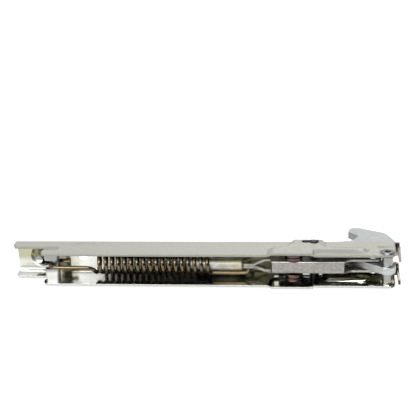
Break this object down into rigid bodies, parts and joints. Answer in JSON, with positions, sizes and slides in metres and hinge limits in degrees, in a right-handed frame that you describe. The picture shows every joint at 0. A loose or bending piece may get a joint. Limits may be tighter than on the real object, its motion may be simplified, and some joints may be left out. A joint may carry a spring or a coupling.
{
  "type": "oven door hinge",
  "caption": "Sprung drop-down oven door hinge: folded channel with extension spring, sliding link and rollers, and a pivoting claw arm with a swing-up latch.",
  "frame": {"origin": "centre of the round fixing hole in the web, on the middle plane of the sheet", "axes": "+X along the channel towards the pivot, +Y out of the web along the fixing hole, +Z across the width, up when it lies on a flange"},
  "size_m": [0.2166, 0.0594, 0.023],
  "materials": {
    "zinc_sheet": "zinc-plated sheet, satin",
    "blue_zinc": "bluish zinc plating, satin",
    "yellow_zinc": "yellowish zinc plating, smooth",
    "spring_steel": "tempered brown wire",
    "dark_steel": "dark hardened steel"
  },
  "bodies": {
    "channel_body": {"channel": "zinc_sheet", "anchor_bar": "zinc_sheet", "spring": "spring_steel", "guide_pin": "dark_steel", "pivot_rivet": "blue_zinc", "spacer_lower": "blue_zinc", "spacer_upper": "blue_zinc"},
    "arm_body": {"hook_arm": "blue_zinc", "link_rivet": "blue_zinc", "latch_rivet": "blue_zinc"},
    "latch_body": {"latch": "blue_zinc"},
    "link_body": {"link": "zinc_sheet", "roller_axle": "dark_steel", "spring_guide": "yellow_zinc"},
    "roller_lower_body": {"roller_lower": "dark_steel"},
    "roller_upper_body": {"roller_upper": "dark_steel"}
  },
  "joints": [
    {"name": "arm_pivot", "type": "hinge", "parent": "channel_body", "child": "arm_body", "pos_m": [0.1701, -0.0158, 0], "axis": [0, 0, -1], "range_deg": [0, 90], "stiffness_Nm_per_rad": 0.02, "springref_deg": -28.65},
    {"name": "latch_pivot", "type": "hinge", "parent": "arm_body", "child": "latch_body", "pos_m": [0.1489, 0.0091, 0], "axis": [0, 0, -1], "range_deg": [0, 65]},
    {"name": "link_slide", "type": "slide", "parent": "channel_body", "child": "link_body", "axis": [1, 0, 0], "range_m": [0, 0.01416], "deforming": ["spring"]},
    {"name": "roller_lower_spin", "type": "hinge", "parent": "link_body", "child": "roller_lower_body", "pos_m": [0.1201, -0.0122, -0.0059], "axis": [0, 0, 1], "continuous": true},
    {"name": "roller_upper_spin", "type": "hinge", "parent": "link_body", "child": "roller_upper_body", "pos_m": [0.1201, -0.0122, 0.0059], "axis": [0, 0, 1], "continuous": true}
  ],
  "couplings": [
    {"joint": "link_slide", "follows": "arm_pivot", "m_per_rad": 0.0090032}
  ]
}
